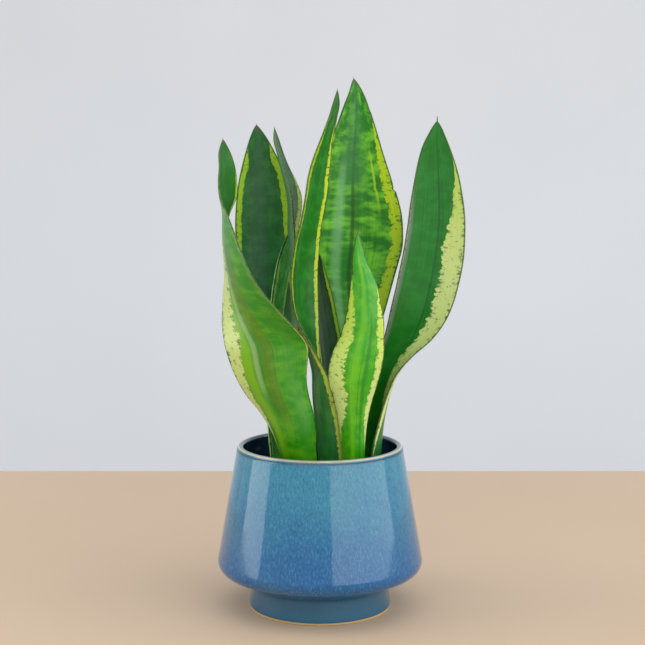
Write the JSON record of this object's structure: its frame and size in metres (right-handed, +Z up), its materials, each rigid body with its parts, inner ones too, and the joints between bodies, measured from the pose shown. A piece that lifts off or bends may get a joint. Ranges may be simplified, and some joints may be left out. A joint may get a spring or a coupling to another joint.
{
  "type": "potted snake plant",
  "caption": "Snake plant with upright, partly twisted sword-shaped leaves edged in yellow-green, growing in potting mix in a round glazed ceramic pot with a flared belly and a narrow foot.",
  "frame": {"origin": "centre of the foot's flat underside, on the pot's axis", "axes": "+Z up along the pot's axis; -Y is the plant's front; +X is to the right as seen from the front"},
  "size_m": [0.1864, 0.157, 0.4025],
  "materials": {
    "glazed_pot": "high-gloss reactive blue glaze with fine vertical streaks, a beige break line at the rim and a bare clay foot edge",
    "potting_mix": "dark, crumbly and slightly moist, with a few pale grains",
    "rhizome": "matt papery skin, buried",
    "dark_leaf": "waxy satin leaf, deep green with mottled bands and yellow-green margins",
    "bright_leaf": "waxy satin leaf, bright green with wide pale margins crossed by dark ticks",
    "pale_leaf": "waxy satin leaf, light green with pale margins"
  },
  "bodies": {
    "root": {"pot": "glazed_pot", "potting_mix": "potting_mix", "rhizome": "rhizome", "leaf_tall_back": "dark_leaf", "leaf_tall_twisted": "dark_leaf", "leaf_right": "dark_leaf", "leaf_inner": "dark_leaf", "leaf_back_left": "dark_leaf", "leaf_on_edge": "dark_leaf", "leaf_front_broad": "bright_leaf", "leaf_front_short": "bright_leaf", "leaf_small": "pale_leaf"}
  },
  "joints": []
}
